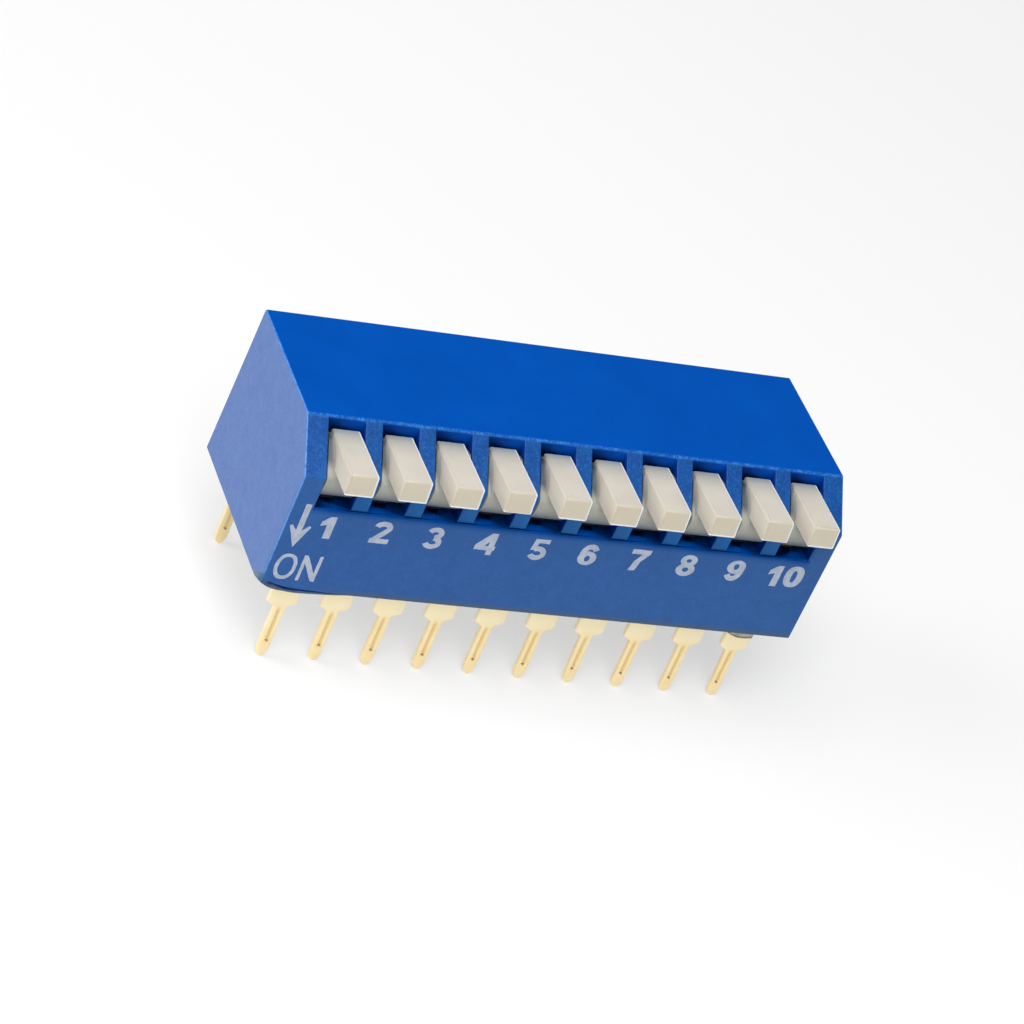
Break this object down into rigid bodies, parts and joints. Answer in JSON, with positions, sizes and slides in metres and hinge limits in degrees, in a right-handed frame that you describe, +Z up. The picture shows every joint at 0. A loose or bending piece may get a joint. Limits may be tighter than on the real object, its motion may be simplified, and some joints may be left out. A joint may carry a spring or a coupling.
{
  "type": "dip switch",
  "caption": "Through-hole piano style DIP switch: blue block, a row of cream front keys that rock down to ON, printed numbers and arrow, flat gold pins in rows below.",
  "frame": {"origin": "middle of the pin grid, level with the feet of the pin shoulders", "axes": "+Z up out of the board, keys face -Y, the row of keys runs along X with key 1 at -X"},
  "size_m": [0.0266, 0.011, 0.0127],
  "materials": {
    "housing_plastic": "matte",
    "base_plastic": "matte",
    "potting_resin": "satin",
    "key_plastic": "satin",
    "terminal_gold": "satin",
    "contact_gold": "satin"
  },
  "bodies": {
    "switch_body": {"housing": "housing_plastic", "base": "base_plastic", "seal": "potting_resin", "terminal_front_1": "terminal_gold", "terminal_front_2": "terminal_gold", "terminal_front_3": "terminal_gold", "terminal_front_4": "terminal_gold", "terminal_front_5": "terminal_gold", "terminal_front_6": "terminal_gold", "terminal_front_7": "terminal_gold", "terminal_front_8": "terminal_gold", "terminal_front_9": "terminal_gold", "terminal_front_10": "terminal_gold", "terminal_rear_1": "terminal_gold", "terminal_rear_2": "terminal_gold", "terminal_rear_3": "terminal_gold", "terminal_rear_4": "terminal_gold", "terminal_rear_5": "terminal_gold", "terminal_rear_6": "terminal_gold", "terminal_rear_7": "terminal_gold", "terminal_rear_8": "terminal_gold", "terminal_rear_9": "terminal_gold", "terminal_rear_10": "terminal_gold"},
    "key_body_1": {"key_1": "key_plastic"},
    "contact_body_1": {"contact_1": "contact_gold"},
    "key_body_2": {"key_2": "key_plastic"},
    "contact_body_2": {"contact_2": "contact_gold"},
    "key_body_3": {"key_3": "key_plastic"},
    "contact_body_3": {"contact_3": "contact_gold"},
    "key_body_4": {"key_4": "key_plastic"},
    "contact_body_4": {"contact_4": "contact_gold"},
    "key_body_5": {"key_5": "key_plastic"},
    "contact_body_5": {"contact_5": "contact_gold"},
    "key_body_6": {"key_6": "key_plastic"},
    "contact_body_6": {"contact_6": "contact_gold"},
    "key_body_7": {"key_7": "key_plastic"},
    "contact_body_7": {"contact_7": "contact_gold"},
    "key_body_8": {"key_8": "key_plastic"},
    "contact_body_8": {"contact_8": "contact_gold"},
    "key_body_9": {"key_9": "key_plastic"},
    "contact_body_9": {"contact_9": "contact_gold"},
    "key_body_10": {"key_10": "key_plastic"},
    "contact_body_10": {"contact_10": "contact_gold"}
  },
  "joints": [
    {"name": "key_turn_1", "type": "hinge", "parent": "switch_body", "child": "key_body_1", "pos_m": [-0.01143, -0.0034, 0.00739], "axis": [1, 0, 0], "range_deg": [0, 25]},
    {"name": "contact_turn_1", "type": "hinge", "parent": "switch_body", "child": "contact_body_1", "pos_m": [-0.01143, 0.0026, 0.00353], "axis": [1, 0, 0], "range_deg": [0, 5]},
    {"name": "key_turn_2", "type": "hinge", "parent": "switch_body", "child": "key_body_2", "pos_m": [-0.00889, -0.0034, 0.00739], "axis": [1, 0, 0], "range_deg": [0, 25]},
    {"name": "contact_turn_2", "type": "hinge", "parent": "switch_body", "child": "contact_body_2", "pos_m": [-0.00889, 0.0026, 0.00353], "axis": [1, 0, 0], "range_deg": [0, 5]},
    {"name": "key_turn_3", "type": "hinge", "parent": "switch_body", "child": "key_body_3", "pos_m": [-0.00635, -0.0034, 0.00739], "axis": [1, 0, 0], "range_deg": [0, 25]},
    {"name": "contact_turn_3", "type": "hinge", "parent": "switch_body", "child": "contact_body_3", "pos_m": [-0.00635, 0.0026, 0.00353], "axis": [1, 0, 0], "range_deg": [0, 5]},
    {"name": "key_turn_4", "type": "hinge", "parent": "switch_body", "child": "key_body_4", "pos_m": [-0.00381, -0.0034, 0.00739], "axis": [1, 0, 0], "range_deg": [0, 25]},
    {"name": "contact_turn_4", "type": "hinge", "parent": "switch_body", "child": "contact_body_4", "pos_m": [-0.00381, 0.0026, 0.00353], "axis": [1, 0, 0], "range_deg": [0, 5]},
    {"name": "key_turn_5", "type": "hinge", "parent": "switch_body", "child": "key_body_5", "pos_m": [-0.00127, -0.0034, 0.00739], "axis": [1, 0, 0], "range_deg": [0, 25]},
    {"name": "contact_turn_5", "type": "hinge", "parent": "switch_body", "child": "contact_body_5", "pos_m": [-0.00127, 0.0026, 0.00353], "axis": [1, 0, 0], "range_deg": [0, 5]},
    {"name": "key_turn_6", "type": "hinge", "parent": "switch_body", "child": "key_body_6", "pos_m": [0.00127, -0.0034, 0.00739], "axis": [1, 0, 0], "range_deg": [0, 25]},
    {"name": "contact_turn_6", "type": "hinge", "parent": "switch_body", "child": "contact_body_6", "pos_m": [0.00127, 0.0026, 0.00353], "axis": [1, 0, 0], "range_deg": [0, 5]},
    {"name": "key_turn_7", "type": "hinge", "parent": "switch_body", "child": "key_body_7", "pos_m": [0.00381, -0.0034, 0.00739], "axis": [1, 0, 0], "range_deg": [0, 25]},
    {"name": "contact_turn_7", "type": "hinge", "parent": "switch_body", "child": "contact_body_7", "pos_m": [0.00381, 0.0026, 0.00353], "axis": [1, 0, 0], "range_deg": [0, 5]},
    {"name": "key_turn_8", "type": "hinge", "parent": "switch_body", "child": "key_body_8", "pos_m": [0.00635, -0.0034, 0.00739], "axis": [1, 0, 0], "range_deg": [0, 25]},
    {"name": "contact_turn_8", "type": "hinge", "parent": "switch_body", "child": "contact_body_8", "pos_m": [0.00635, 0.0026, 0.00353], "axis": [1, 0, 0], "range_deg": [0, 5]},
    {"name": "key_turn_9", "type": "hinge", "parent": "switch_body", "child": "key_body_9", "pos_m": [0.00889, -0.0034, 0.00739], "axis": [1, 0, 0], "range_deg": [0, 25]},
    {"name": "contact_turn_9", "type": "hinge", "parent": "switch_body", "child": "contact_body_9", "pos_m": [0.00889, 0.0026, 0.00353], "axis": [1, 0, 0], "range_deg": [0, 5]},
    {"name": "key_turn_10", "type": "hinge", "parent": "switch_body", "child": "key_body_10", "pos_m": [0.01143, -0.0034, 0.00739], "axis": [1, 0, 0], "range_deg": [0, 25]},
    {"name": "contact_turn_10", "type": "hinge", "parent": "switch_body", "child": "contact_body_10", "pos_m": [0.01143, 0.0026, 0.00353], "axis": [1, 0, 0], "range_deg": [0, 5]}
  ],
  "couplings": [
    {"joint": "contact_turn_1", "follows": "key_turn_1", "ratio": 0.2},
    {"joint": "contact_turn_2", "follows": "key_turn_2", "ratio": 0.2},
    {"joint": "contact_turn_3", "follows": "key_turn_3", "ratio": 0.2},
    {"joint": "contact_turn_4", "follows": "key_turn_4", "ratio": 0.2},
    {"joint": "contact_turn_5", "follows": "key_turn_5", "ratio": 0.2},
    {"joint": "contact_turn_6", "follows": "key_turn_6", "ratio": 0.2},
    {"joint": "contact_turn_7", "follows": "key_turn_7", "ratio": 0.2},
    {"joint": "contact_turn_8", "follows": "key_turn_8", "ratio": 0.2},
    {"joint": "contact_turn_9", "follows": "key_turn_9", "ratio": 0.2},
    {"joint": "contact_turn_10", "follows": "key_turn_10", "ratio": 0.2}
  ]
}
